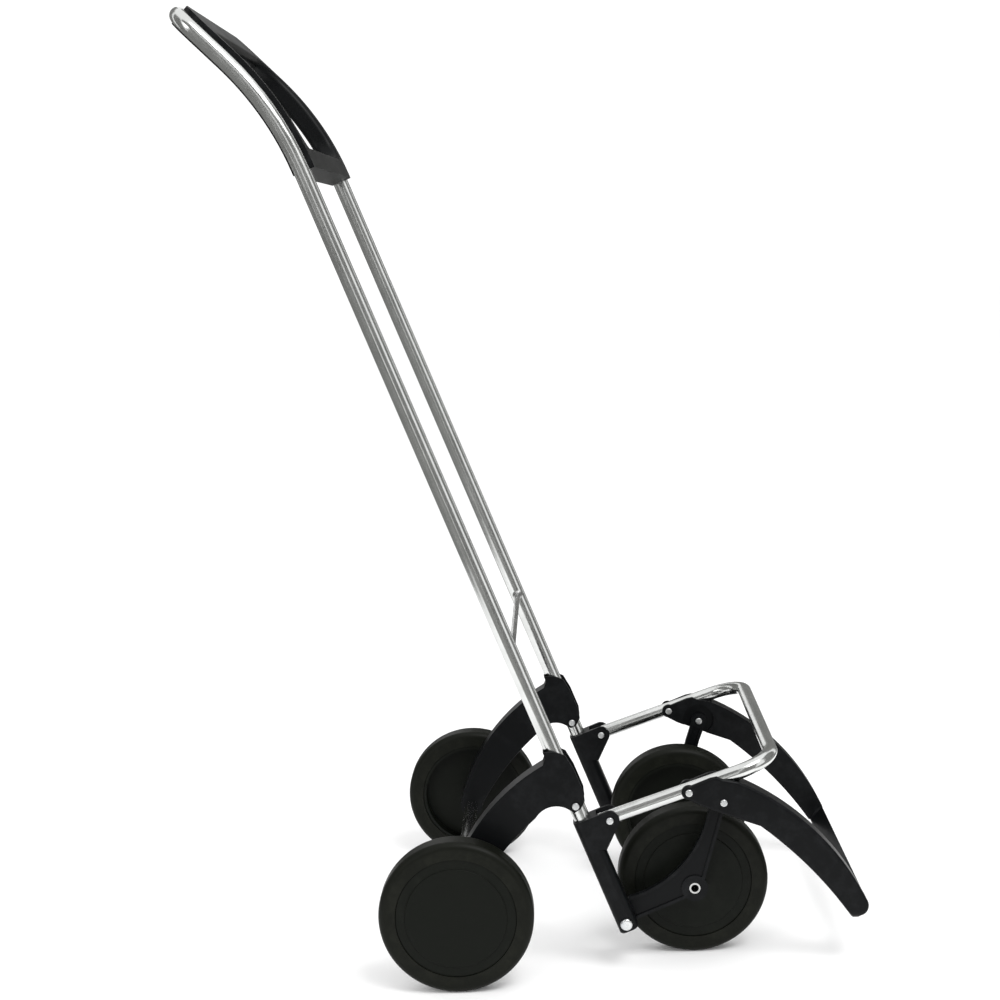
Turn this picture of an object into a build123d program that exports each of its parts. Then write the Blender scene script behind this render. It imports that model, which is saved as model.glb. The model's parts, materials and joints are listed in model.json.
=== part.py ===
from build123d import *
import os
from math import atan2, cos, degrees, hypot, radians, sin, tan

# Folding four-wheeled shopping trolley, without its bag.
# Millimetres. +Z is up, +Y points back to the user's handle, +X is the user's left.
# The origin is on the floor, in the middle of the width, half-way between the tip of
# the front stand and the back of the handle. Side-plane points are written (y, z).

# ---------------------------------------------------------------- driving dimensions
HALF_WIDTH = 166.0            # side tubes' centre planes, from the middle
LEAN = 21.0                   # uprights lean back, degrees from vertical
TUBE_R = 9.0                  # frame tube
TUBE_WALL = 1.2
SHELF_R = 8.0                 # shelf tube and rear axle tube
FIT = 0.05                    # radial running fit of pins, axles and bushes
GAP = 0.3                     # clearance between parts that move past each other
FORK_HALF = 12.4              # half width of every fork, post and leg
SLOT_HALF = SHELF_R + GAP     # half width of the forks' slots for the shelf tube
RIVET_R = 3.0
RIVET_HEAD_R = 4.0
RIVET_HEAD_H = 1.6

REAR_AXLE = (90.5, 82.5)
FRONT_AXLE = (-166.5, 82.5)
ARM_PIVOT = (-39.35, 186.5)   # rear arms on the uprights
SHELF_PIVOT = (-75.4, 169.4)  # shelf in the posts
STAND_PIVOT = (-160.5, 198.0)  # stand on the shelf
LINK_PIVOT = (-197.2, 186.3)  # stand to wheel arms
POST_PIVOT = (-90.3, 53.5)    # wheel arms in the posts

BAR_CENTRE = (343.5, 1027.5)  # top bar of the handle
HANDLE_LEAN = 45.0            # top of the handle, degrees from vertical
HANDLE_BEND_R = 319.0
HANDLE_CORNER_R = 25.0
TUBE_FOOT_HEIGHT = 78.0       # lower ends of the uprights, inside the posts

SHELF_LENGTH = 187.0          # shelf pivot to the front bar's centre line
SHELF_CORNER_R = 40.0
SHELF_TAIL = 10.5             # tube behind the shelf pivot
PLUG_CAP = 2.5
PLUG_SPIGOT = 6.5

GRIP_HALF_DEPTH = 12.0
GRIP_RISE = 1.2                # how far the liner's middle lies in front of and above the tube's
GRIP_FOOT_HEIGHT = 864.0
GRIP_SIDE = 19.0              # tube centre to the hand opening, at the sides
GRIP_TOP_HEIGHT = 1000.0      # top of the hand opening
GRIP_BLOCK_HEIGHT = 891.0     # bottom of the hand opening
GRIP_OPENING_R = 24.0
GRIP_EDGE_R = 7.0

CROSSBAR_HEIGHT = 350.8
CROSSBAR_R = 3.25
CROSSBAR_PAD_R = 6.0
CROSSBAR_PAD_DEPTH = 2.5

POST_HALF_DEPTH = 10.5
POST_TOP_HEIGHT = 169.2       # measured on the tube's centre line
POST_FOOT_HEIGHT = 44.5
POST_CORNER_R = 7.0
POST_SLOT_R = 15.6            # room for the shelf tube's tail between the ears
POST_FOOT_EDGE_R = 2.5
BOLT_R = 4.0
BOLT_HEAD_R = 6.5
BOLT_HEAD_H = 3.5
BOLT_TAIL = 2.0
NUT_R = 7.0
NUT_H = 6.0

STAND_NOSE_R = 8.0
STAND_FOOT_HEIGHT = 52.6
STAND_OUTER_R = 10.0
STAND_INNER_R = 4.0
STAND_EDGE_R = 3.0
STAND_TURN = 127.0            # how far the stand turns on the shelf, degrees
STAND_POCKET_R = 19.0
STAND_POCKET_DEPTH = 2.0
STAND_BOSS_R = 7.0

WHEEL_R = 82.5
WHEEL_WIDTH = 30.6
RIM_R = 64.4                  # where the tyre meets the wheel's centre
STEP_R = 54.4                 # raised ring inside the rim
REAR_WHEEL_FACE = 226.2       # outer faces of the wheels, from the middle
FRONT_WHEEL_FACE = 129.5
TYRE_EDGE_R = 7.0
RIM_WALL = 4.0
RIM_INSET = 1.2               # rim's edges below the tyre's faces
RIM_EDGE_R = 0.8
HUB_R = 14.0
WEB_INNER = 17.0              # web and cover, from the wheel's inner face
WEB_OUTER = 20.0
COVER_INNER = 27.2
COVER_OUTER = 30.4
COVER_LEDGE = 4.0
COVER_EDGE_R = 1.2
COVER_HOLE_R = 7.2
REAR_AXLE_R = 5.0
REAR_ROD_END = 221.0
REAR_SOCKET = 14.0            # rear axle tube's seat in the arms
REAR_HUB_R = 14.0
REAR_BOSS_R = 11.0
REAR_ARM_EDGE_R = 1.2
REAR_FOLD = 64.0              # how far the rear arms fold, degrees
AXLE_CAP_R = 9.0
AXLE_CAP_DEPTH = 4.0
FRONT_AXLE_R = 6.0
FRONT_AXLE_WALL = 1.8
FRONT_SPACER_R = 9.0
FRONT_BOSS_R = 11.0
BUSH_WALL = 2.5

WHEEL_ARM_OUTER = 153.2       # wheel arms pass inside the posts and the stand
WHEEL_ARM_INNER = 146.4
WHEEL_ARM_EYE_R = 9.0
WHEEL_ARM_HUB_R = 14.5
WHEEL_ARM_RIM = 3.5
WHEEL_ARM_POCKET = 1.6

os.makedirs("parts", exist_ok=True)


# ---------------------------------------------------------------- shared geometry
def on_upright(height):
    """Point of the upright's centre line at a height."""
    return (ARM_PIVOT[0] + (height - ARM_PIVOT[1]) * tan(radians(LEAN)), height)


def along(start, end, distance):
    """Point on the line from start through end, a distance from start."""
    length = hypot(end[0] - start[0], end[1] - start[1])
    return (
        start[0] + (end[0] - start[0]) * distance / length,
        start[1] + (end[1] - start[1]) * distance / length,
    )


def upright_section(height):
    """Plane across the left upright, local Y towards the user."""
    y, z = on_upright(height)
    up = (0, sin(radians(LEAN)), cos(radians(LEAN)))
    return Plane(origin=(HALF_WIDTH, y, z), x_dir=(1, 0, 0), z_dir=up)


def handle_bend_corner():
    """Where the upright's line meets the line of the handle's top."""
    lower, upper = tan(radians(LEAN)), tan(radians(HANDLE_LEAN))
    height = (on_upright(0)[0] - BAR_CENTRE[0] + BAR_CENTRE[1] * upper) / (upper - lower)
    return on_upright(height)


def side(x):
    """Side plane at x, with local (y, z) as in the world."""
    return Plane.YZ.offset(x)


def toward(point, angle, distance):
    """Point at a distance from another, at an angle from +Y in the side plane."""
    return (
        point[0] + distance * cos(radians(angle)),
        point[1] + distance * sin(radians(angle)),
    )


def strip(point, angle, length, half_width):
    """Corners of a strip that starts at a point and runs off at an angle."""
    end = toward(point, angle, length)
    return [
        toward(point, angle + 90, half_width),
        toward(end, angle + 90, half_width),
        toward(end, angle - 90, half_width),
        toward(point, angle - 90, half_width),
    ]


def swept_room(pivot, start, end, reach, half_width):
    """Side outline of a tube that turns about a pivot from one angle to another."""
    with BuildSketch(mode=Mode.PRIVATE) as room:
        with Locations(pivot):
            Circle(half_width)
        for angle in (start, (start + end) / 2, end):
            Polygon(*strip(pivot, angle, reach, half_width), align=None)
        make_hull()
    return room.sketch


def write(part, name):
    part.label = name
    export_step(part, f"parts/{name}.step")


def write_pair(part, name):
    """Write the left piece and its mirror image on the right."""
    write(part, f"{name}_left")
    with BuildPart() as other:
        mirror(part, about=Plane.YZ)
    write(other.part, f"{name}_right")


# ---------------------------------------------------------------- frame tube
bend = handle_bend_corner()
foot = on_upright(TUBE_FOOT_HEIGHT)
frame_corners = [
    (HALF_WIDTH, *foot),
    (HALF_WIDTH, *bend),
    (HALF_WIDTH, *BAR_CENTRE),
    (-HALF_WIDTH, *BAR_CENTRE),
    (-HALF_WIDTH, *bend),
    (-HALF_WIDTH, *foot),
]
frame_radii = [HANDLE_BEND_R, HANDLE_CORNER_R, HANDLE_CORNER_R, HANDLE_BEND_R]

with BuildPart() as frame_tube:
    with BuildLine() as frame_path:
        FilletPolyline(*frame_corners, radius=frame_radii)
    with BuildSketch(upright_section(TUBE_FOOT_HEIGHT)):
        Circle(TUBE_R)
        Circle(TUBE_R - TUBE_WALL, mode=Mode.SUBTRACT)
    sweep()
    with BuildSketch(Plane.YZ):
        with Locations(ARM_PIVOT):
            Circle(RIVET_R + FIT)
    extrude(amount=REAR_WHEEL_FACE, both=True, mode=Mode.SUBTRACT)
write(frame_tube.part, "frame_tube")

with BuildPart(mode=Mode.PRIVATE) as frame_tube_room:
    with BuildLine():
        FilletPolyline(*frame_corners, radius=frame_radii)
    with BuildSketch(upright_section(TUBE_FOOT_HEIGHT)):
        Circle(TUBE_R + FIT)
    sweep()

# ---------------------------------------------------------------- handle grip
# A moulded liner inside the bent tube: it holds the tube in a groove round its edge.
handle_plane = Plane(
    origin=(0, *BAR_CENTRE),
    x_dir=(1, 0, 0),
    z_dir=(0, -cos(radians(HANDLE_LEAN)), sin(radians(HANDLE_LEAN))),
)
opening_height = GRIP_TOP_HEIGHT - GRIP_BLOCK_HEIGHT
opening_middle = (GRIP_TOP_HEIGHT + GRIP_BLOCK_HEIGHT) / 2
grip_reach = 300.0            # longer than the grip, for its blank
tube_middle = (on_upright(GRIP_FOOT_HEIGHT - TUBE_R), bend, BAR_CENTRE)
grip_middle = [(y - GRIP_RISE, z + GRIP_RISE) for y, z in tube_middle]

with BuildPart() as grip:
    with BuildSketch(Plane.YZ):
        with BuildLine():
            FilletPolyline(*grip_middle, radius=HANDLE_BEND_R)
            offset(amount=GRIP_HALF_DEPTH, kind=Kind.INTERSECTION)
        make_face()
    extrude(amount=HALF_WIDTH, both=True)
    with BuildSketch(handle_plane) as grip_outline:
        Rectangle(2 * HALF_WIDTH, grip_reach, align=(Align.CENTER, Align.MAX))
        fillet(grip_outline.vertices().group_by(Axis.Y)[-1], HANDLE_CORNER_R)
    extrude(amount=grip_reach, both=True, mode=Mode.INTERSECT)
    split(bisect_by=upright_section(GRIP_FOOT_HEIGHT))
    outer_edges = grip.edges()
    with BuildSketch(Plane.XZ):
        with Locations((0, opening_middle)):
            RectangleRounded(2 * (HALF_WIDTH - GRIP_SIDE), opening_height, GRIP_OPENING_R)
    extrude(amount=-2 * grip_reach, mode=Mode.SUBTRACT)
    fillet(grip.edges() - outer_edges - grip.edges().filter_by(Plane.XZ), GRIP_EDGE_R)
    add(frame_tube_room.part, mode=Mode.SUBTRACT)
write(grip.part, "handle_grip")

# ---------------------------------------------------------------- crossbar
crossbar_end = HALF_WIDTH - TUBE_R + 0.5

with BuildPart() as crossbar_rod:
    with BuildSketch(Plane.YZ):
        with Locations(on_upright(CROSSBAR_HEIGHT)):
            Circle(CROSSBAR_R)
    extrude(amount=crossbar_end, both=True)
    with BuildSketch(side(crossbar_end)):
        with Locations(on_upright(CROSSBAR_HEIGHT)):
            Circle(CROSSBAR_PAD_R)
    extrude(amount=-CROSSBAR_PAD_DEPTH, taper=45)
    mirror(about=Plane.YZ)
    add(frame_tube_room.part, mode=Mode.SUBTRACT)
write(crossbar_rod.part, "crossbar_rod")


# ---------------------------------------------------------------- rivets
def rivet_pair(pivot, inner, outer, inner_head=True, outer_head=True):
    """Domed rivets on both sides of the trolley, through |x| = inner to outer."""
    with BuildPart() as pair:
        with BuildSketch(side(inner)):
            with Locations(pivot):
                Circle(RIVET_R)
        extrude(amount=outer - inner)
        heads = [(outer, RIVET_HEAD_H)] * outer_head + [(inner, -RIVET_HEAD_H)] * inner_head
        for head_x, head_height in heads:
            with BuildSketch(side(head_x)):
                with Locations(pivot):
                    Circle(RIVET_HEAD_R)
            extrude(amount=head_height)
            rim = pair.edges().filter_by(GeomType.CIRCLE).filter_by_position(
                Axis.X, head_x + head_height - FIT, head_x + head_height + FIT
            )
            fillet(rim, RIVET_HEAD_H * 0.75)
        mirror(about=Plane.YZ)
    return pair.part


fork_inner = HALF_WIDTH - FORK_HALF
fork_outer = HALF_WIDTH + FORK_HALF
write(rivet_pair(ARM_PIVOT, fork_inner - GAP, fork_outer + GAP), "arm_rivets")
write(rivet_pair(SHELF_PIVOT, fork_inner, fork_outer), "shelf_rivets")
write(rivet_pair(LINK_PIVOT, WHEEL_ARM_INNER, fork_outer + GAP), "link_rivets")

# The stand's rivets are buttons in the walls of its forks, clear of the shelf tube between them.
with BuildPart() as stand_rivets:
    add(rivet_pair(STAND_PIVOT, fork_inner, HALF_WIDTH - SLOT_HALF - GAP, outer_head=False))
    add(rivet_pair(STAND_PIVOT, HALF_WIDTH + SLOT_HALF + GAP, fork_outer, inner_head=False))
write(stand_rivets.part, "stand_rivets")

# ---------------------------------------------------------------- posts
shelf_rest = degrees(atan2(STAND_PIVOT[1] - SHELF_PIVOT[1], STAND_PIVOT[0] - SHELF_PIVOT[0]))
post_notch = (-71.5, 137.3)   # foot of the ear, on the post's front
ear_front = toward(on_upright(POST_TOP_HEIGHT), 180 - LEAN, POST_HALF_DEPTH)
tube_inside = TUBE_FOOT_HEIGHT - 1
post_length = (POST_TOP_HEIGHT - POST_FOOT_HEIGHT) / cos(radians(LEAN))

with BuildPart() as post:
    # ear that carries the shelf
    with BuildSketch(side(fork_inner)):
        with Locations(SHELF_PIVOT):
            Circle(POST_HALF_DEPTH)
        Polygon(post_notch, on_upright(post_notch[1]), on_upright(POST_TOP_HEIGHT), ear_front, align=None)
        make_hull()
    extrude(amount=2 * FORK_HALF)
    with BuildSketch(side(HALF_WIDTH - SLOT_HALF)):
        with Locations(SHELF_PIVOT):
            Circle(POST_SLOT_R)
        add(swept_room(SHELF_PIVOT, shelf_rest, 90 - LEAN, 3 * SHELF_R, SLOT_HALF))
    extrude(amount=2 * SLOT_HALF, mode=Mode.SUBTRACT)
    # sleeve round the foot of the upright
    with BuildSketch(upright_section(POST_FOOT_HEIGHT)):
        RectangleRounded(2 * FORK_HALF, 2 * POST_HALF_DEPTH, POST_CORNER_R)
    extrude(amount=post_length)
    fillet(post.faces().sort_by(Axis.Z)[0].edges(), POST_FOOT_EDGE_R)
    with BuildSketch(upright_section(tube_inside)):
        Circle(TUBE_R + FIT)
    extrude(amount=post_length, mode=Mode.SUBTRACT)
    with BuildSketch(Plane.YZ):
        with Locations(SHELF_PIVOT):
            Circle(RIVET_R + FIT)
        with Locations(POST_PIVOT):
            Circle(BOLT_R + FIT)
    extrude(amount=REAR_WHEEL_FACE, mode=Mode.SUBTRACT)
write_pair(post.part, "post")

# ---------------------------------------------------------------- post bolts and nuts
nut_face = WHEEL_ARM_INNER - GAP

with BuildPart() as post_bolts:
    with BuildSketch(side(fork_outer)):
        with Locations(POST_PIVOT):
            Circle(BOLT_HEAD_R)
    extrude(amount=BOLT_HEAD_H)
    fillet(post_bolts.faces().sort_by(Axis.X)[-1].edges(), BOLT_HEAD_H * 0.6)
    with BuildSketch(side(fork_outer)):
        with Locations(POST_PIVOT):
            Circle(BOLT_R)
    extrude(amount=nut_face - NUT_H - fork_outer - BOLT_TAIL)
    mirror(about=Plane.YZ)
write(post_bolts.part, "post_bolts")

with BuildPart() as post_nuts:
    with BuildSketch(side(nut_face)):
        with Locations(POST_PIVOT):
            RegularPolygon(NUT_R, 6)
            Circle(BOLT_R + FIT, mode=Mode.SUBTRACT)
    extrude(amount=-NUT_H)
    mirror(about=Plane.YZ)
write(post_nuts.part, "post_nuts")

# ---------------------------------------------------------------- shelf
shelf_tail = along(SHELF_PIVOT, STAND_PIVOT, -SHELF_TAIL)
shelf_front = along(SHELF_PIVOT, STAND_PIVOT, SHELF_LENGTH)
tail_plane = Plane(
    origin=(HALF_WIDTH, *shelf_tail),
    x_dir=(1, 0, 0),
    z_dir=(0, -cos(radians(shelf_rest)), -sin(radians(shelf_rest))),
)

with BuildPart() as shelf_tube:
    with BuildLine():
        FilletPolyline(
            (HALF_WIDTH, *shelf_tail),
            (HALF_WIDTH, *shelf_front),
            (-HALF_WIDTH, *shelf_front),
            (-HALF_WIDTH, *shelf_tail),
            radius=SHELF_CORNER_R,
        )
    with BuildSketch(tail_plane):
        Circle(SHELF_R)
        Circle(SHELF_R - TUBE_WALL, mode=Mode.SUBTRACT)
    sweep()
    with BuildSketch(Plane.YZ):
        with Locations(SHELF_PIVOT, STAND_PIVOT):
            Circle(RIVET_R + FIT)
    extrude(amount=REAR_WHEEL_FACE, both=True, mode=Mode.SUBTRACT)
write(shelf_tube.part, "shelf_tube")

with BuildPart() as shelf_plugs:
    with BuildSketch(tail_plane):
        Circle(SHELF_R)
    extrude(amount=PLUG_CAP)
    fillet(shelf_plugs.edges().sort_by(Axis.Y)[-1], PLUG_CAP * 0.7)
    with BuildSketch(tail_plane):
        Circle(SHELF_R - TUBE_WALL - FIT)
    extrude(amount=-PLUG_SPIGOT)
    mirror(about=Plane.YZ)
write(shelf_plugs.part, "shelf_plugs")

# ---------------------------------------------------------------- stand
# One U-shaped moulding: two legs joined by a bar at the foot.
toe_top = (-348.3, 74.7)
toe_front = (-347.0, 58.7)
heel = (-333.1, 53.9)
leg_knee = (-236.3, 158.7)
leg_shoulder = (-213.1, 208.5)
bar_back = (-336.0, 54.6)     # upper edges of the bar
bar_front = (-351.5, 69.5)
nose_under = toward(STAND_PIVOT, -80, STAND_NOSE_R)
nose_over = toward(STAND_PIVOT, 110, STAND_NOSE_R)
stand_blank = 400.0

with BuildPart() as stand:
    with BuildSketch(Plane.YZ):
        with BuildLine():
            ThreePointArc(nose_under, toward(STAND_PIVOT, 0, STAND_NOSE_R), nose_over)
            Polyline(nose_over, (-183.0, 213.3), (-190.5, 214.7), (-196.3, 212.0), leg_shoulder)
            ThreePointArc(leg_shoulder, (-289.7, 156.8), toe_top)
            ThreePointArc(toe_top, (-350.7, 66.0), toe_front)
            Polyline(toe_front, (-337.0, 52.6), heel)
            ThreePointArc(heel, (-284.3, 115.2), leg_knee)
            Polyline(leg_knee, (-196.3, 173.3), (-171.0, 183.5), nose_under)
        make_face()
    extrude(amount=fork_outer, both=True)
    with BuildSketch(Plane.XZ) as stand_front:
        with Locations((0, STAND_FOOT_HEIGHT)):
            Rectangle(2 * fork_outer, stand_blank, align=(Align.CENTER, Align.MIN))
        fillet(stand_front.vertices().group_by(Axis.Y)[0], STAND_OUTER_R)
    extrude(amount=stand_blank, mode=Mode.INTERSECT)
    fillet(stand.faces().filter_by(Axis.X).edges().filter_by(Axis.Y, reverse=True), STAND_EDGE_R)
    # opening between the legs, down to the thin bar at the foot
    with BuildSketch(Plane.YZ):
        Polygon(
            bar_back,
            bar_front,
            toward(bar_front, 90, stand_blank),
            toward(bar_back, 45, stand_blank),
            toward(bar_back, -60, WHEEL_R),
            align=None,
        )
    extrude(amount=fork_inner, both=True, mode=Mode.SUBTRACT)
    for end_x in (fork_inner, -fork_inner):
        bar_ends = stand.edges().filter_by_position(Axis.X, end_x - FIT, end_x + FIT)
        bar_ends = bar_ends.filter_by_position(Axis.Z, bar_back[1], bar_front[1])
        fillet(bar_ends.sort_by(SortBy.LENGTH)[-1], STAND_INNER_R)
    for slot_left in (HALF_WIDTH - SLOT_HALF, -HALF_WIDTH - SLOT_HALF):
        with BuildSketch(side(slot_left)):
            add(swept_room(STAND_PIVOT, shelf_rest, shelf_rest - STAND_TURN, 110.0, SLOT_HALF))
        extrude(amount=2 * SLOT_HALF, mode=Mode.SUBTRACT)
        with BuildSketch(side(slot_left)):
            add(swept_room(STAND_PIVOT, shelf_rest - 180, shelf_rest - 180 - STAND_TURN, 110.0, SLOT_HALF))
        extrude(amount=2 * SLOT_HALF, mode=Mode.SUBTRACT)
    with BuildSketch(Plane.YZ):
        with Locations(LINK_PIVOT):
            Circle(STAND_POCKET_R)
            Circle(STAND_BOSS_R, mode=Mode.SUBTRACT)
    extrude(amount=fork_inner + STAND_POCKET_DEPTH, both=True, mode=Mode.SUBTRACT)
    with BuildSketch(Plane.YZ):
        with Locations(STAND_PIVOT, LINK_PIVOT):
            Circle(RIVET_R + FIT)
    extrude(amount=REAR_WHEEL_FACE, both=True, mode=Mode.SUBTRACT)
write(stand.part, "stand_frame")

# ---------------------------------------------------------------- wheel arms
# Plates inside the posts and the stand, with a raised rim on both faces.
arm_thickness = WHEEL_ARM_OUTER - WHEEL_ARM_INNER
arm_neck_front = (-197.6, 162.3)
arm_neck_back = (-181.0, 162.7)
arm_tail_over = (-94.5, 73.9)
arm_tail_under = (-155.3, 70.7)

with BuildPart() as wheel_arm:
    with BuildSketch(side(WHEEL_ARM_INNER)) as arm_outline:
        with BuildLine():
            Polyline(
                arm_tail_over,
                toward(POST_PIVOT, 30, WHEEL_ARM_EYE_R),
                toward(POST_PIVOT, -100, WHEEL_ARM_EYE_R),
                arm_tail_under,
                (-177.3, 91.9),
                arm_neck_front,
                toward(LINK_PIVOT, 190, WHEEL_ARM_EYE_R),
                toward(LINK_PIVOT, -10, WHEEL_ARM_EYE_R),
                arm_neck_back,
            )
            ThreePointArc(arm_neck_back, (-150.1, 106.5), arm_tail_over)
        make_face()
        with Locations(LINK_PIVOT, POST_PIVOT):
            Circle(WHEEL_ARM_EYE_R)
        with Locations(FRONT_AXLE):
            Circle(WHEEL_ARM_HUB_R)
    extrude(amount=arm_thickness)
    with BuildSketch(side(WHEEL_ARM_OUTER)) as arm_pocket:
        add(offset(arm_outline.sketch_local, amount=-WHEEL_ARM_RIM, kind=Kind.INTERSECTION, mode=Mode.PRIVATE))
        with Locations(LINK_PIVOT, POST_PIVOT):
            Circle(WHEEL_ARM_EYE_R, mode=Mode.SUBTRACT)
        with Locations(FRONT_AXLE):
            Circle(WHEEL_ARM_HUB_R, mode=Mode.SUBTRACT)
    extrude(amount=-WHEEL_ARM_POCKET, mode=Mode.SUBTRACT)
    with BuildSketch(side(WHEEL_ARM_INNER)):
        add(arm_pocket.sketch_local)
    extrude(amount=WHEEL_ARM_POCKET, mode=Mode.SUBTRACT)
    with BuildSketch(side(FRONT_WHEEL_FACE + GAP)):
        with Locations(FRONT_AXLE):
            Circle(FRONT_BOSS_R)
    extrude(amount=WHEEL_ARM_INNER - FRONT_WHEEL_FACE - GAP)
    with BuildSketch(Plane.YZ):
        with Locations(FRONT_AXLE):
            Circle(FRONT_AXLE_R)
        with Locations(LINK_PIVOT):
            Circle(RIVET_R)
        with Locations(POST_PIVOT):
            Circle(BOLT_R + FIT)
    extrude(amount=REAR_WHEEL_FACE, mode=Mode.SUBTRACT)
write_pair(wheel_arm.part, "wheel_arm")

# ---------------------------------------------------------------- rear arms
# Each fork straddles an upright; a web behind the tube stops it in the open position.
rear_fold_end = 90 - LEAN - 180 + REAR_FOLD      # the folded tube's lower end, seen from the arm
wall_inner = TUBE_R + GAP
web_corner = toward(ARM_PIVOT, -LEAN + REAR_FOLD / 2, wall_inner / cos(radians(REAR_FOLD / 2)))
hub_over = toward(REAR_AXLE, 25, REAR_HUB_R)
hub_front = toward(REAR_AXLE, 175, REAR_HUB_R)
arm_waist_over = (-5.6, 232.3)
arm_waist_under = (-33.0, 182.4)
arm_belly = (4.0, 174.0)

with BuildPart() as rear_arm:
    with BuildSketch(side(fork_inner)) as rear_outline:
        with BuildLine():
            ThreePointArc(arm_waist_over, (38.5, 199.5), hub_over)
            ThreePointArc(hub_over, toward(REAR_AXLE, -80, REAR_HUB_R), hub_front)
            ThreePointArc(hub_front, (31.0, 147.5), arm_belly)
            ThreePointArc(arm_belly, (-17.0, 187.0), arm_waist_under)
            Polyline(
                arm_waist_under,
                (-38.6, 179.6),
                (-45.0, 183.8),
                (-49.3, 192.2),
                (-48.4, 202.0),
                (-38.6, 227.2),
                (-30.2, 242.0),
                (-19.0, 246.8),
                (-5.9, 246.8),
                (-8.4, 239.8),
                arm_waist_over,
            )
        make_face()
    extrude(amount=2 * FORK_HALF)
    fillet(rear_arm.edges().filter_by(GeomType.CIRCLE).sort_by(SortBy.LENGTH)[-4:], REAR_ARM_EDGE_R)
    with BuildSketch(side(HALF_WIDTH - wall_inner)):
        Polygon(
            web_corner,
            toward(web_corner, 90 - LEAN, 2 * WHEEL_R),
            toward(web_corner, 180, 2 * WHEEL_R),
            toward(web_corner, rear_fold_end, 2 * WHEEL_R),
            align=None,
        )
    extrude(amount=2 * wall_inner, mode=Mode.SUBTRACT)
    with BuildSketch(side(fork_outer)):
        with Locations(REAR_AXLE):
            Circle(REAR_BOSS_R)
    extrude(amount=REAR_WHEEL_FACE - WHEEL_WIDTH - GAP - fork_outer)
    with BuildSketch(side(fork_inner)):
        with Locations(REAR_AXLE):
            Circle(SHELF_R)
    extrude(amount=REAR_SOCKET, mode=Mode.SUBTRACT)
    with BuildSketch(Plane.YZ):
        with Locations(REAR_AXLE):
            Circle(REAR_AXLE_R)
        with Locations(ARM_PIVOT):
            Circle(RIVET_R + FIT)
    extrude(amount=REAR_WHEEL_FACE, mode=Mode.SUBTRACT)
write_pair(rear_arm.part, "rear_arm")


# ---------------------------------------------------------------- axles
def axle(centre, outer_r, inner_r, half_length):
    """Round bar or tube across the trolley."""
    with BuildPart() as bar:
        with BuildSketch(Plane.YZ):
            with Locations(centre):
                Circle(outer_r)
                if inner_r:
                    Circle(inner_r, mode=Mode.SUBTRACT)
        extrude(amount=half_length, both=True)
    return bar.part


front_bore_r = FRONT_AXLE_R - FRONT_AXLE_WALL
write(axle(FRONT_AXLE, FRONT_AXLE_R, front_bore_r, WHEEL_ARM_OUTER), "front_axle")
spacer_half = FRONT_WHEEL_FACE - WHEEL_WIDTH - GAP
write(axle(FRONT_AXLE, FRONT_SPACER_R, FRONT_AXLE_R, spacer_half), "front_spacer")
write(axle(REAR_AXLE, SHELF_R, REAR_AXLE_R, fork_inner + REAR_SOCKET), "rear_axle_tube")
write(axle(REAR_AXLE, REAR_AXLE_R, 0, REAR_ROD_END), "rear_axle_rod")

with BuildPart() as axle_caps:
    with BuildSketch(side(REAR_ROD_END - AXLE_CAP_DEPTH)):
        with Locations(REAR_AXLE):
            Circle(AXLE_CAP_R)
    extrude(amount=AXLE_CAP_DEPTH + 1)
    fillet(axle_caps.faces().sort_by(Axis.X)[-1].edges(), 1)
    with BuildSketch(side(REAR_ROD_END - AXLE_CAP_DEPTH)):
        with Locations(REAR_AXLE):
            Circle(REAR_AXLE_R)
    extrude(amount=AXLE_CAP_DEPTH, mode=Mode.SUBTRACT)
    mirror(about=Plane.YZ)
write(axle_caps.part, "rear_axle_caps")


# ---------------------------------------------------------------- wheels
def turned(outline, edge_r, inner_x, centre):
    """Turn an (s, r) outline about a wheel's axle; s runs out from the wheel's inner face."""
    wheel_plane = Plane(origin=(inner_x, *centre), x_dir=(1, 0, 0), z_dir=(0, -1, 0))
    with BuildPart() as piece:
        with BuildSketch(wheel_plane) as section:
            with BuildLine():
                Polyline(*outline, close=True)
            make_face()
            if edge_r:
                fillet(section.vertices().group_by(Axis.Y)[-1], edge_r)
        revolve(axis=Axis((inner_x, *centre), (1, 0, 0)))
    return piece.part


def write_wheel(name, inner_x, centre, axle_r, cover_hole_r):
    """Write the tyre, core, cover and bush of a left and a right wheel."""
    bush_r = axle_r + FIT + BUSH_WALL
    ledge_r = STEP_R - COVER_LEDGE
    tyre = [(0, RIM_R), (0, WHEEL_R), (WHEEL_WIDTH, WHEEL_R), (WHEEL_WIDTH, RIM_R)]
    core = [
        (GAP, bush_r),
        (GAP, HUB_R),
        (WEB_INNER, HUB_R),
        (WEB_INNER, RIM_R - RIM_WALL),
        (RIM_INSET, RIM_R - RIM_WALL),
        (RIM_INSET, RIM_R),
        (WHEEL_WIDTH - RIM_INSET, RIM_R),
        (WHEEL_WIDTH - RIM_INSET, STEP_R),
        (COVER_INNER, STEP_R),
        (COVER_INNER, ledge_r),
        (WEB_OUTER, ledge_r),
        (WEB_OUTER, bush_r),
    ]
    cover = [
        (COVER_INNER, cover_hole_r),
        (COVER_INNER, STEP_R),
        (COVER_OUTER, STEP_R),
        (COVER_OUTER, cover_hole_r),
    ]
    bush = [(GAP, axle_r + FIT), (GAP, bush_r), (WEB_OUTER, bush_r), (WEB_OUTER, axle_r + FIT)]
    write_pair(turned(tyre, TYRE_EDGE_R, inner_x, centre), f"{name}_tyre")
    write_pair(turned(core, RIM_EDGE_R, inner_x, centre), f"{name}_core")
    write_pair(turned(cover, COVER_EDGE_R, inner_x, centre), f"{name}_cover")
    write_pair(turned(bush, 0, inner_x, centre), f"{name}_bush")


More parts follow.
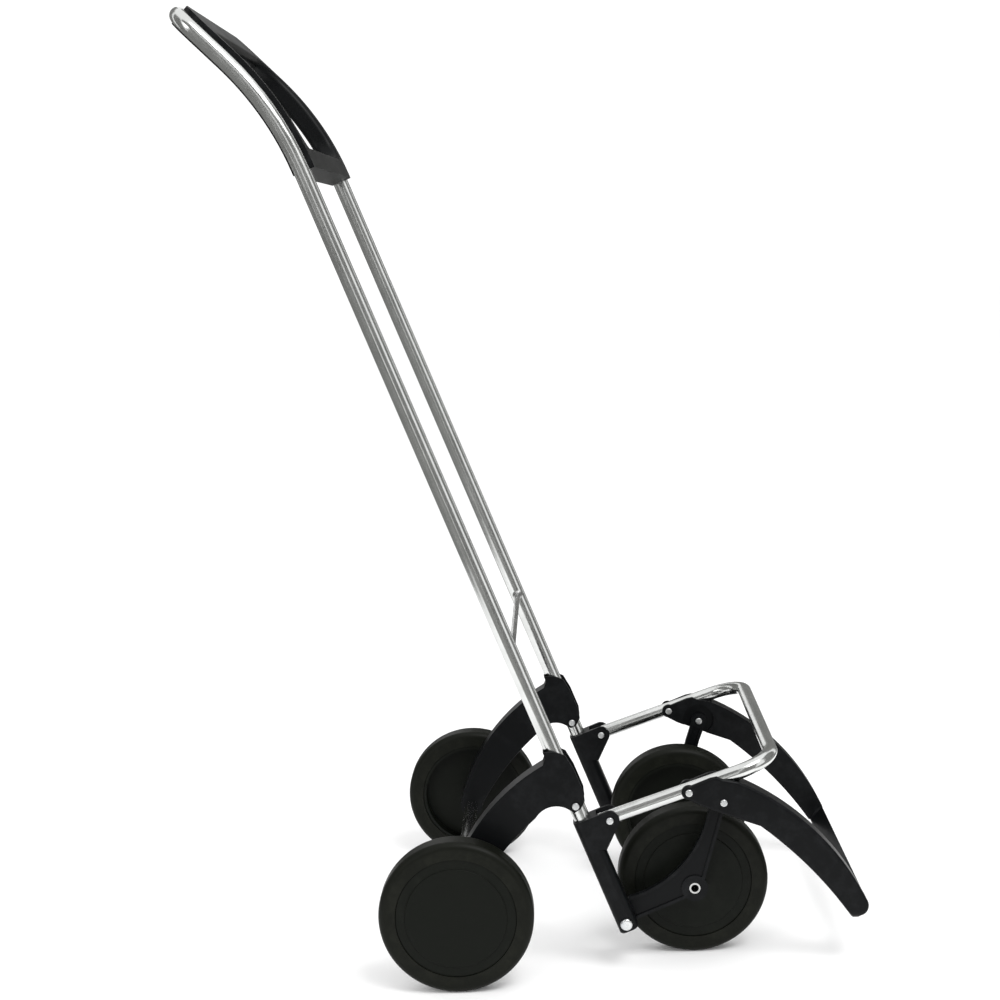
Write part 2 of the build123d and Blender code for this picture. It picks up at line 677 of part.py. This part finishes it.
write_wheel("rear_wheel", REAR_WHEEL_FACE - WHEEL_WIDTH, REAR_AXLE, REAR_AXLE_R, 0)
write_wheel("front_wheel", FRONT_WHEEL_FACE - WHEEL_WIDTH, FRONT_AXLE, FRONT_AXLE_R, COVER_HOLE_R)
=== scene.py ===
"""Looks of a folding shopping trolley frame: bright bent tubes, moulded black plastic, dark disc wheels."""

import json
import math

import bmesh
import bpy
from mathutils import Matrix, Vector


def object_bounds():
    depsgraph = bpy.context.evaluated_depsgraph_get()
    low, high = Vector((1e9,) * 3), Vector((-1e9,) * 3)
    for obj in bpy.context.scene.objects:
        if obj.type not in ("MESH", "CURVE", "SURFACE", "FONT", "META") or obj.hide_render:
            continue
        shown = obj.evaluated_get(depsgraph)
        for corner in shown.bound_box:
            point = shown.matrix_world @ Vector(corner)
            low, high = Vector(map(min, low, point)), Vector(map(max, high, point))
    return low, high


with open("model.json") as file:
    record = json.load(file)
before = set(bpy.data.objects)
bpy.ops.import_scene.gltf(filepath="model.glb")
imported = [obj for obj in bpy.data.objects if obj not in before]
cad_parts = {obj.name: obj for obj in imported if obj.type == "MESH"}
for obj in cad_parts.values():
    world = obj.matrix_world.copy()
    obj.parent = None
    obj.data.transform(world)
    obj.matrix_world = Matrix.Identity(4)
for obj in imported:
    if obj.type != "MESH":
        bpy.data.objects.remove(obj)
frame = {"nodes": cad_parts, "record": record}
cad_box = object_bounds()
NODES = frame["nodes"]
SLOT_OF = {part["node"]: part["material_slot"] for part in frame["record"]["subparts"]}

# camera: the place and the tilt the trolley is seen from
EYE = Vector((-2.00487, -0.03183, 0.78576))
EYE_YAW = 0.0337
EYE_PITCH = 0.1445
EYE_ROLL = -0.03574
EYE_LENS = 63.76
SENSOR = 36.0

# stage
FLOOR_HALF = 40.0
FLOOR_DROP = 0.0005
FLOOR_CELLS = 8
ROOM_LIGHT = 1.12
KEY_PLACE, KEY_SIZE, KEY_POWER = (-1.6, -1.2, 3.0), (1.6, 1.2), 55.0
FILL_PLACE, FILL_SIZE, FILL_POWER = (-2.5, 1.8, 1.6), (1.2, 1.6), 14.0

# dark flags round and under the trolley, seen only in its gloss
FLAG_RADIUS = 3.4
FLAG_LOW, FLAG_HIGH = 0.02, 4.2
FLAG_UNDER = 0.0002            # height of the flat flag
FLAG_HOLE = 0.75               # half the open square in its middle
FLAG_ARCS = ((-106, -60), (-48, 8), (20, 66), (78, 124), (134, 178), (184, 228))    # degrees
FLAG_HIDDEN_FROM = ("camera", "diffuse", "shadow", "transmission", "volume_scatter")

# softened edges of each finish, in metres
EDGE = {
    "bright_tube": 0.0,
    "axle_steel": 0.0003,
    "zinc": 0.0003,
    "black_plastic": 0.0007,
    "wheel_plastic": 0.0006,
    "tyre": 0.0008,
    "bush_plastic": 0.0003,
}
EDGE_SEGMENTS = 2
EDGE_ANGLE = 35                # degrees between two faces that counts as an edge


# ---------------------------------------------------------------- node material helpers
MIX_COLOURS = slice(6, 8)      # the colour sockets of a mix node
MIX_RESULT = 2


class Shader:
    """A material under construction: one Principled shader with nodes feeding it."""

    def __init__(self, name, **constants):
        self.material = bpy.data.materials.new(name)
        self.material.use_nodes = True
        self.tree = self.material.node_tree
        self.shader = self.tree.nodes["Principled BSDF"]
        for socket, value in constants.items():
            self.shader.inputs[socket.replace("_", " ")].default_value = value
        self.place = self.tree.nodes.new("ShaderNodeTexCoord").outputs["Object"]

    def node(self, kind, **settings):
        made = self.tree.nodes.new(kind)
        for key, value in settings.items():
            setattr(made, key, value)
        return made

    def link(self, source, target):
        self.tree.links.new(source, target)

    def stretched(self, scale):
        """Object coordinates scaled by three numbers, for marks that run along one direction."""
        mapping = self.node("ShaderNodeMapping")
        mapping.inputs["Scale"].default_value = scale
        self.link(self.place, mapping.inputs["Vector"])
        return mapping.outputs["Vector"]

    def noise(self, scale, detail=4.0, roughness=0.55, vector=None):
        made = self.node("ShaderNodeTexNoise")
        made.inputs["Scale"].default_value = scale
        made.inputs["Detail"].default_value = detail
        made.inputs["Roughness"].default_value = roughness
        self.link(vector or self.place, made.inputs["Vector"])
        return made.outputs["Fac"]

    def remap(self, value, taken, given):
        """The range taken from the value, stretched to the range given."""
        made = self.node("ShaderNodeMapRange")
        for socket, number in zip(("From Min", "From Max", "To Min", "To Max"), (*taken, *given)):
            made.inputs[socket].default_value = number
        self.link(value, made.inputs["Value"])
        return made.outputs["Result"]

    def math(self, operation, first, second):
        made = self.node("ShaderNodeMath", operation=operation)
        for socket, value in zip(made.inputs, (first, second)):
            if isinstance(value, (int, float)):
                socket.default_value = value
            else:
                self.link(value, socket)
        return made.outputs["Value"]

    def blend(self, factor, first, second):
        """A colour between two, by factor."""
        made = self.node("ShaderNodeMix", data_type="RGBA")
        self.link(factor, made.inputs["Factor"])
        for socket, value in zip(made.inputs[MIX_COLOURS], (first, second)):
            if isinstance(value, tuple):
                socket.default_value = (*value, 1.0)
            else:
                self.link(value, socket)
        return made.outputs[MIX_RESULT]

    def edges(self, pointed):
        """1 on worn outer edges, 0 on flats, over a range of pointiness."""
        geometry = self.node("ShaderNodeNewGeometry")
        return self.remap(geometry.outputs["Pointiness"], pointed, (0.0, 1.0))

    def colour(self, source):
        self.link(source, self.shader.inputs["Base Color"])

    def roughness(self, source):
        self.link(source, self.shader.inputs["Roughness"])

    def bump(self, *layers):
        """Stacks bump layers given as (height, distance in metres, strength)."""
        normal = None
        for height, distance, strength in layers:
            made = self.node("ShaderNodeBump")
            made.inputs["Distance"].default_value = distance
            made.inputs["Strength"].default_value = strength
            self.link(height, made.inputs["Height"])
            if normal is not None:
                self.link(normal, made.inputs["Normal"])
            normal = made.outputs["Normal"]
        self.link(normal, self.shader.inputs["Normal"])


# marks on bright metal: noise scale per metre, and depth in metres
MOTTLE_SCALE = 38.0
SMEAR_SCALE = 11.0
SCRATCH_DEPTH = 0.000008
RIPPLE_SCALE, RIPPLE_DEPTH = 120.0, 0.00002


def bright_metal(name, dark, light, rough, wear, scratch_scale):
    """Bare bright metal: fine drawing marks, slight mottling and a few dull smears."""
    s = Shader(name, Metallic=1.0)
    mottle = s.noise(MOTTLE_SCALE, detail=5.0)
    s.colour(s.blend(s.remap(mottle, (0.35, 0.7), (0.0, 1.0)), light, dark))
    lines = s.noise(1.0, detail=2.0, vector=s.stretched(scratch_scale))
    smear = s.remap(s.noise(SMEAR_SCALE, detail=6.0, roughness=0.65), (0.48, 0.72), (0.0, wear))
    s.roughness(s.math("ADD", s.remap(lines, (0.3, 0.7), (rough * 0.8, rough * 1.25)), smear))
    ripple = s.noise(RIPPLE_SCALE, detail=1.0)
    s.bump((lines, SCRATCH_DEPTH, 0.2), (ripple, RIPPLE_DEPTH, 0.12))
    return s.material


# marks on moulded plastic: noise scale per metre, and how much each changes the plastic
DRIFT_SCALE, DRIFT_MOST = 9.0, 0.04
DUST_SCALE, DUST_MOST = 340.0, 0.08
DUST_PALES, DUST_DULLS = 0.5, 0.2
RUB_SCALE, RUB_MOST = 60.0, 0.2
RUBBED_POINTINESS = (0.505, 0.56)
TONE_SCALE = 12.0
SINK_SCALE = 22.0
PIT_STRENGTH, SINK_STRENGTH = 0.55, 0.06


def moulded(name, base, pale, rough, grain, depth, gloss=0.3):
    """Moulded plastic: fine spark-eroded grain, slow colour drift, a little dust and paler rubbed edges."""
    s = Shader(name, Metallic=0.0, Specular_IOR_Level=gloss)
    drift = s.remap(s.noise(DRIFT_SCALE, detail=5.0, roughness=0.6), (0.35, 0.72), (0.0, DRIFT_MOST))
    dust = s.remap(s.noise(DUST_SCALE, detail=3.0), (0.60, 0.78), (0.0, DUST_MOST))
    rubbed = s.edges(RUBBED_POINTINESS)
    marks = s.remap(s.noise(RUB_SCALE, detail=8.0, roughness=0.75), (0.45, 0.62), (0.0, RUB_MOST))
    body = s.blend(drift, base, pale)
    body = s.blend(s.math("MULTIPLY", dust, DUST_PALES), body, pale)
    s.colour(s.blend(s.math("MULTIPLY", rubbed, marks), body, pale))
    tone = s.noise(TONE_SCALE, detail=3.0, roughness=0.5)
    tone = s.remap(tone, (0.3, 0.7), (rough - 0.02, rough + 0.03))
    s.roughness(s.math("ADD", tone, s.math("MULTIPLY", dust, DUST_DULLS)))
    pits = s.noise(grain, detail=2.0, roughness=0.5)
    sink = s.noise(SINK_SCALE, detail=1.0)
    s.bump((pits, depth, PIT_STRENGTH), (sink, depth * 2.0, SINK_STRENGTH))
    return s.material


MATERIALS = {
    "bright_tube": bright_metal(
        "bright_tube", (0.62, 0.63, 0.62), (0.72, 0.73, 0.72), 0.17, 0.05, (420.0, 60.0, 12.0)
    ),
    "axle_steel": bright_metal(
        "axle_steel", (0.42, 0.42, 0.42), (0.60, 0.60, 0.59), 0.24, 0.16, (30.0, 900.0, 900.0)
    ),
    "zinc": bright_metal(
        "zinc", (0.52, 0.54, 0.56), (0.80, 0.81, 0.80), 0.26, 0.20, (400.0, 400.0, 400.0)
    ),
    "black_plastic": moulded(
        "black_plastic", (0.0028, 0.0032, 0.0036), (0.022, 0.023, 0.025), 0.38, 1500.0, 0.00005, gloss=0.12
    ),
    "wheel_plastic": moulded(
        "wheel_plastic", (0.0034, 0.0044, 0.0028), (0.018, 0.020, 0.015), 0.48, 1300.0, 0.00006, gloss=0.12
    ),
    "tyre": moulded(
        "tyre", (0.0040, 0.0047, 0.0028), (0.022, 0.023, 0.016), 0.46, 1100.0, 0.00007, gloss=0.13
    ),
    "bush_plastic": moulded(
        "bush_plastic", (0.62, 0.62, 0.58), (0.75, 0.75, 0.71), 0.45, 900.0, 0.00004
    ),
}

# ---------------------------------------------------------------- CAD nodes: finish and softened edges
for node, obj in NODES.items():
    slot = SLOT_OF[node]
    obj.data.materials.clear()
    obj.data.materials.append(MATERIALS[slot])
    obj.data.polygons.foreach_set("material_index", [0] * len(obj.data.polygons))
    if EDGE[slot]:
        bevel = obj.modifiers.new("softened", "BEVEL")
        bevel.width = EDGE[slot]
        bevel.segments = EDGE_SEGMENTS
        bevel.limit_method = "ANGLE"
        bevel.angle_limit = math.radians(EDGE_ANGLE)
        bevel.harden_normals = True
        bevel.use_clamp_overlap = True

# ---------------------------------------------------------------- floor
bpy.ops.mesh.primitive_grid_add(
    x_subdivisions=FLOOR_CELLS, y_subdivisions=FLOOR_CELLS, size=2 * FLOOR_HALF, location=(0, 0, -FLOOR_DROP)
)
floor = bpy.context.object
floor.name = "floor"
paper = Shader("floor_paper", Roughness=0.9)
paper.colour(paper.blend(paper.noise(0.8), (0.90, 0.90, 0.90), (0.93, 0.93, 0.93)))
floor.data.materials.append(paper.material)

# ---------------------------------------------------------------- light
world = bpy.data.worlds.new("studio")
bpy.context.scene.world = world
world.use_nodes = True
world.node_tree.nodes["Background"].inputs["Color"].default_value = (1.0, 1.0, 1.0, 1.0)
world.node_tree.nodes["Background"].inputs["Strength"].default_value = ROOM_LIGHT
bpy.context.scene.view_settings.view_transform = "Standard"

flag_mesh = bpy.data.meshes.new("flags")
shape = bmesh.new()
for start, end in FLAG_ARCS:
    corners = []
    for angle in (start, end):
        x = FLAG_RADIUS * math.cos(math.radians(angle))
        y = FLAG_RADIUS * math.sin(math.radians(angle))
        corners.append([shape.verts.new((x, y, z)) for z in (FLAG_LOW, FLAG_HIGH)])
    shape.faces.new((corners[0][0], corners[1][0], corners[1][1], corners[0][1]))
sides = ((-1, -1), (1, -1), (1, 1), (-1, 1))
outer, inner = (
    [shape.verts.new((x * reach, y * reach, FLAG_UNDER)) for x, y in sides]
    for reach in (FLAG_RADIUS, FLAG_HOLE)
)
for i in range(len(sides)):
    shape.faces.new((outer[i - 1], outer[i], inner[i], inner[i - 1]))
shape.to_mesh(flag_mesh)
shape.free()
flags = bpy.data.objects.new("flags", flag_mesh)
bpy.context.scene.collection.objects.link(flags)
cloth = Shader("flag_cloth", Roughness=1.0)
cloth.colour(cloth.blend(cloth.noise(0.7), (0.10, 0.10, 0.10), (0.24, 0.24, 0.23)))
flags.data.materials.append(cloth.material)
for ray in FLAG_HIDDEN_FROM:
    setattr(flags, "visible_" + ray, False)


def softbox(name, place, target, size, power):
    """A rectangular area light that faces the target."""
    light = bpy.data.lights.new(name, "AREA")
    light.shape = "RECTANGLE"
    light.size, light.size_y = size
    light.energy = power
    obj = bpy.data.objects.new(name, light)
    obj.location = place
    obj.rotation_euler = (Vector(target) - Vector(place)).to_track_quat("-Z", "Y").to_euler()
    bpy.context.scene.collection.objects.link(obj)


middle = (cad_box[0] + cad_box[1]) / 2
softbox("key_light", KEY_PLACE, middle, KEY_SIZE, KEY_POWER)
softbox("fill_light", FILL_PLACE, middle, FILL_SIZE, FILL_POWER)

# ---------------------------------------------------------------- camera
ahead = Vector((
    math.cos(EYE_PITCH) * math.cos(EYE_YAW),
    math.cos(EYE_PITCH) * math.sin(EYE_YAW),
    -math.sin(EYE_PITCH),
))
level = Vector((math.sin(EYE_YAW), -math.cos(EYE_YAW), 0.0))
upright = level.cross(ahead)
across = math.cos(EYE_ROLL) * level + math.sin(EYE_ROLL) * upright
upward = math.cos(EYE_ROLL) * upright - math.sin(EYE_ROLL) * level
eye_data = bpy.data.cameras.new("camera")
eye_data.lens = EYE_LENS
eye_data.sensor_width = SENSOR
eye = bpy.data.objects.new("camera", eye_data)
turn = Matrix((across, upward, -ahead)).transposed()
eye.matrix_world = Matrix.Translation(EYE) @ turn.to_4x4()
bpy.context.scene.collection.objects.link(eye)
bpy.context.scene.camera = eye

bpy.context.view_layer.update()
